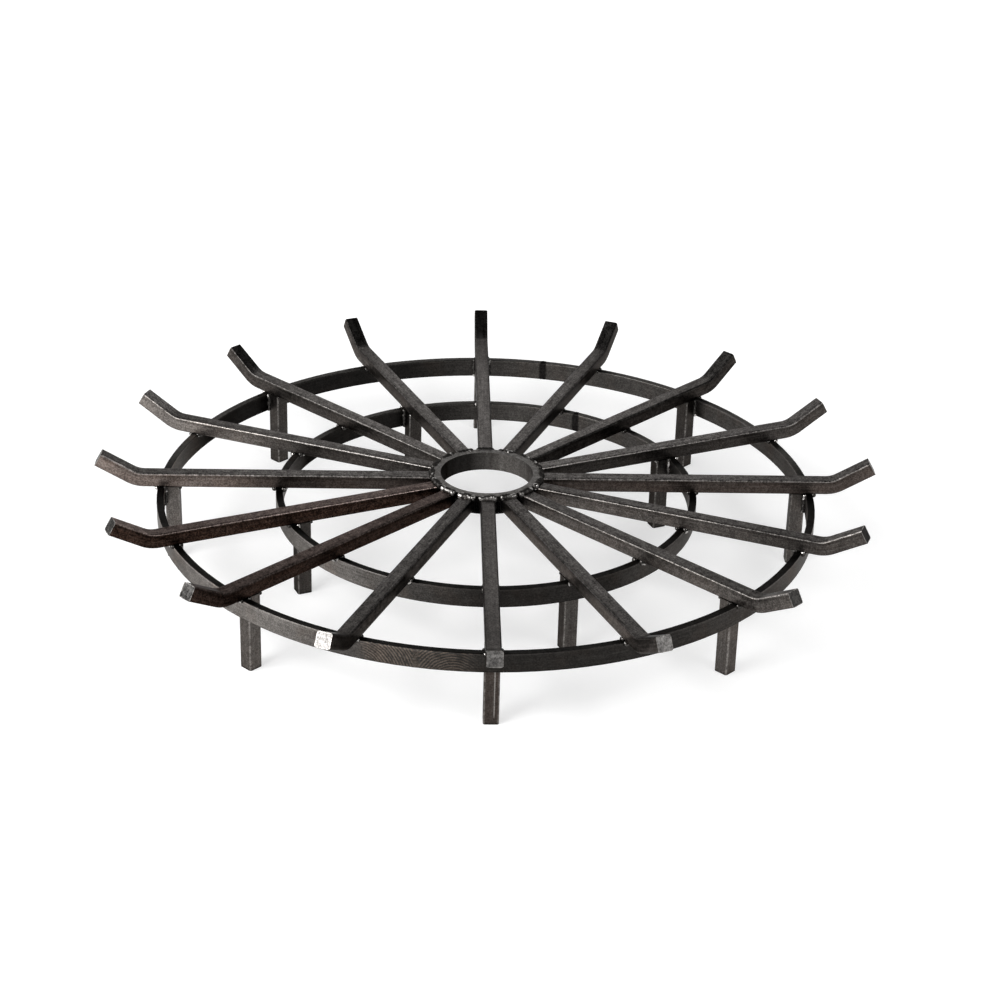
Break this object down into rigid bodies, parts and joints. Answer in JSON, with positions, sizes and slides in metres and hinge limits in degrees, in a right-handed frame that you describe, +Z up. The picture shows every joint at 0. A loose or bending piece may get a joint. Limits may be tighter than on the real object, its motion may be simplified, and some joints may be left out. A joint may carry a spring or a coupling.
{
  "type": "log grate",
  "caption": "Welded wheel-shaped steel log grate: square-bar spokes with upturned tips on a pipe hub, two flat-bar hoops and short square legs.",
  "frame": {"origin": "on the floor, straight below the centre of the hub", "axes": "+Z up along the hub's axis; -Y along the front spoke, spoke_01; +X along spoke_05"},
  "size_m": [1.016, 1.016, 0.1474],
  "materials": {
    "spoke_steel": "dark hot-rolled mill finish, satin",
    "leg_steel": "dark hot-rolled mill finish, satin",
    "hoop_steel": "dark hot-rolled mill finish, lightly ground",
    "hub_steel": "dark pipe, satin",
    "weld_metal": "shiny rippled weld bead"
  },
  "bodies": {
    "root": {"spoke_01": "spoke_steel", "spoke_02": "spoke_steel", "spoke_03": "spoke_steel", "spoke_04": "spoke_steel", "spoke_05": "spoke_steel", "spoke_06": "spoke_steel", "spoke_07": "spoke_steel", "spoke_08": "spoke_steel", "spoke_09": "spoke_steel", "spoke_10": "spoke_steel", "spoke_11": "spoke_steel", "spoke_12": "spoke_steel", "spoke_13": "spoke_steel", "spoke_14": "spoke_steel", "spoke_15": "spoke_steel", "spoke_16": "spoke_steel", "outer_leg_1": "leg_steel", "outer_leg_2": "leg_steel", "outer_leg_3": "leg_steel", "outer_leg_4": "leg_steel", "outer_leg_5": "leg_steel", "outer_leg_6": "leg_steel", "outer_leg_7": "leg_steel", "outer_leg_8": "leg_steel", "inner_leg_1": "leg_steel", "inner_leg_2": "leg_steel", "inner_leg_3": "leg_steel", "inner_leg_4": "leg_steel", "inner_ring": "hoop_steel", "outer_ring": "hoop_steel", "hub_ring": "hub_steel", "hub_welds": "weld_metal", "inner_ring_welds": "weld_metal", "outer_ring_welds": "weld_metal", "inner_leg_welds": "weld_metal", "outer_leg_welds": "weld_metal", "inner_ring_seam": "weld_metal", "outer_ring_seam": "weld_metal"}
  },
  "joints": []
}
